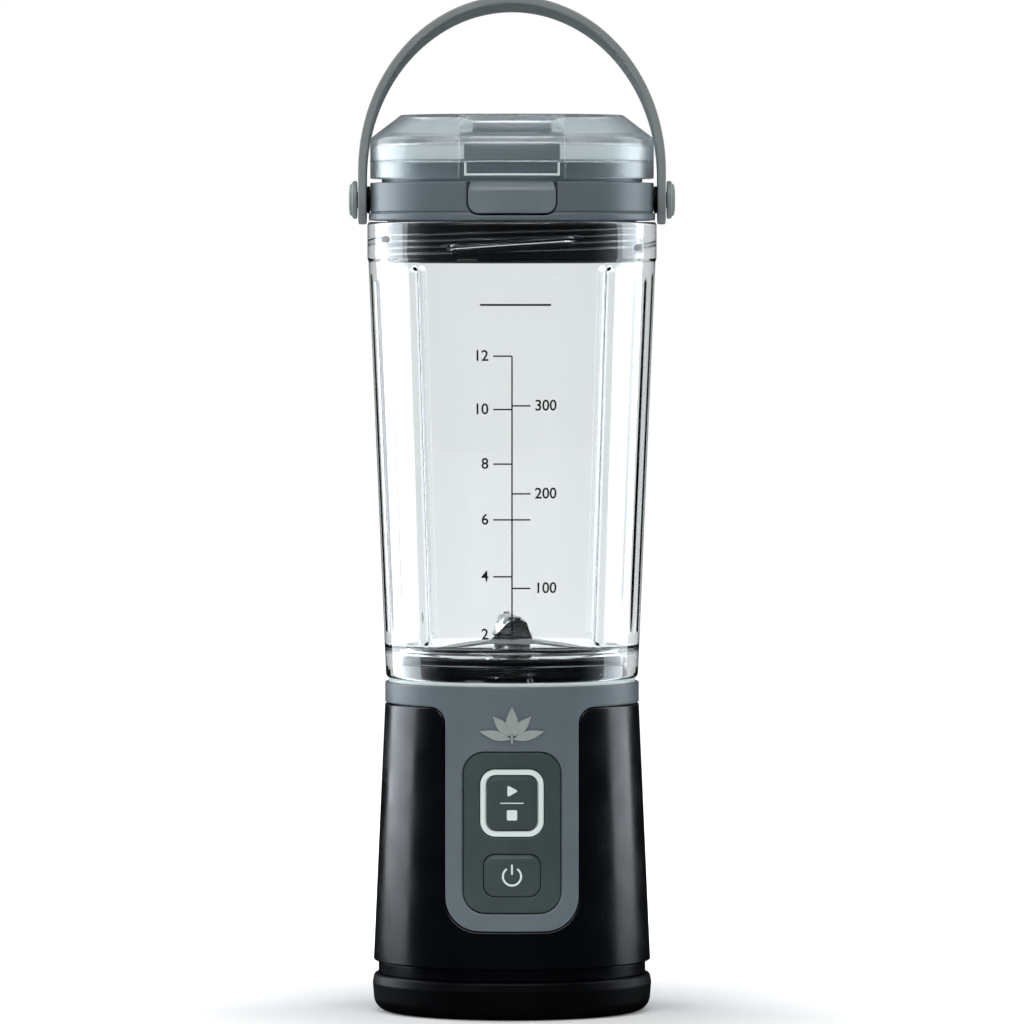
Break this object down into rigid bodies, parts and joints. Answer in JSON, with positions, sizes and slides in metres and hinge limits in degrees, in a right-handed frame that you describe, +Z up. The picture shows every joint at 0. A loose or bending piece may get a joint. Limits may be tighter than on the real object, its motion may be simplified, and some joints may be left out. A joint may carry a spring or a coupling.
{
  "type": "portable blender",
  "caption": "Cordless countertop blender: motor base with control fascia, screw-on clear vessel, and a lid with a hinged sip flap, latch and swinging carry handle.",
  "frame": {"origin": "centre of the foot's underside, on the axis of the motor, vessel and lid", "axes": "+Z up, -Y front with the control panel, +X to the right seen from the front"},
  "size_m": [0.0932, 0.0826, 0.2902],
  "materials": {
    "grey_plastic": "cool mid-grey moulded plastic with a fine satin grain",
    "handle_grey": "warm mid-grey flexible plastic, satin",
    "panel_grey": "dark greenish grey soft-touch plastic",
    "light_plastic": "white translucent light guide",
    "black_plastic": "black satin plastic",
    "black_rubber": "matt black rubber",
    "grey_rubber": "grey silicone rubber",
    "clear_plastic": "clear polished copolyester",
    "smoke_plastic": "smoke-grey translucent plastic, frosted inside",
    "steel": "fine brushed stainless steel",
    "bronze": "sintered bronze",
    "magnet_grey": "dark sintered ferrite",
    "copper": "enamelled copper winding",
    "cell_sleeve": "blue shrink sleeve",
    "board_green": "green solder mask"
  },
  "bodies": {
    "motor_base": {"foot_boot": "black_rubber", "bottom_cover": "black_plastic", "housing": "black_plastic", "collar_fascia": "grey_plastic", "control_panel": "panel_grey", "light_ring": "light_plastic", "button_board": "board_green", "start_switch": "black_plastic", "power_switch": "black_plastic", "motor_can": "steel", "motor_endcap": "black_plastic", "motor_magnet_left": "magnet_grey", "motor_magnet_right": "magnet_grey", "motor_mount": "black_plastic", "lower_bearing": "bronze", "upper_bearing": "bronze", "shaft_seal": "black_rubber", "blade_platform": "black_plastic", "battery_cell_left": "cell_sleeve", "battery_cell_right": "cell_sleeve", "battery_tray": "black_plastic", "main_board": "board_green", "charging_port": "steel", "mount_screw_left": "steel", "mount_screw_right": "steel", "base_screw_1": "steel", "base_screw_2": "steel", "base_screw_3": "steel", "base_screw_4": "steel"},
    "start_button": {"start_button": "panel_grey"},
    "power_button": {"power_button": "panel_grey"},
    "port_flap": {"port_flap": "black_rubber"},
    "blade_rotor": {"motor_rotor": "copper", "motor_shaft": "steel", "blade_hub": "steel", "lower_blade": "steel", "upper_blade": "steel", "blade_nut": "steel"},
    "vessel_seal": {"vessel_gasket": "black_rubber"},
    "vessel": {"vessel_jar": "clear_plastic"},
    "lid_seal": {"lid_gasket": "grey_rubber"},
    "lid": {"lid_collar": "grey_plastic", "dome_cover": "smoke_plastic", "flap_hinge_pin": "steel", "latch_pin": "steel", "latch_spring": "steel", "handle_rivet_left": "handle_grey", "handle_rivet_right": "handle_grey"},
    "sip_flap": {"sip_flap": "smoke_plastic", "flap_liner": "grey_plastic", "spout_stopper": "grey_rubber"},
    "latch": {"latch": "grey_plastic"},
    "handle": {"handle_strap": "handle_grey"}
  },
  "joints": [
    {"name": "start_press", "type": "slide", "parent": "motor_base", "child": "start_button", "axis": [0, 1, 0], "range_m": [0, 0.0008], "stiffness_N_per_m": 600},
    {"name": "power_press", "type": "slide", "parent": "motor_base", "child": "power_button", "axis": [0, 1, 0], "range_m": [0, 0.0008], "stiffness_N_per_m": 600},
    {"name": "port_flap_hinge", "type": "hinge", "parent": "motor_base", "child": "port_flap", "pos_m": [0, 0.03941, 0.0186], "axis": [-1, 0, 0], "range_deg": [0, 100]},
    {"name": "blade_spin", "type": "hinge", "parent": "motor_base", "child": "blade_rotor", "pos_m": [0, 0, 0.1003], "axis": [0, 0, 1], "continuous": true},
    {"name": "vessel_twist", "type": "hinge", "parent": "vessel_seal", "child": "vessel", "pos_m": [0, 0, 0.0952], "axis": [0, 0, 1], "range_deg": [0, 360]},
    {"name": "vessel_lift", "type": "slide", "parent": "motor_base", "child": "vessel_seal", "axis": [0, 0, 1], "range_m": [0, 0.024]},
    {"name": "lid_twist", "type": "hinge", "parent": "lid_seal", "child": "lid", "pos_m": [0, 0, 0.2259], "axis": [0, 0, 1], "range_deg": [0, 360]},
    {"name": "lid_lift", "type": "slide", "parent": "vessel", "child": "lid_seal", "axis": [0, 0, 1], "range_m": [0, 0.016]},
    {"name": "flap_hinge", "type": "hinge", "parent": "lid", "child": "sip_flap", "pos_m": [0, -0.0095, 0.2544], "axis": [-1, 0, 0], "range_deg": [0, 95]},
    {"name": "latch_rock", "type": "hinge", "parent": "lid", "child": "latch", "pos_m": [0, -0.0366, 0.2326], "axis": [1, 0, 0], "range_deg": [0, 6], "stiffness_Nm_per_rad": 0.05},
    {"name": "handle_swing", "type": "hinge", "parent": "lid", "child": "handle", "pos_m": [0, 0, 0.2318], "axis": [1, 0, 0], "range_deg": [-110, 115]}
  ],
  "couplings": [
    {"joint": "vessel_lift", "follows": "vessel_twist", "m_per_rad": 0.0038197},
    {"joint": "lid_lift", "follows": "lid_twist", "m_per_rad": 0.0025464}
  ]
}
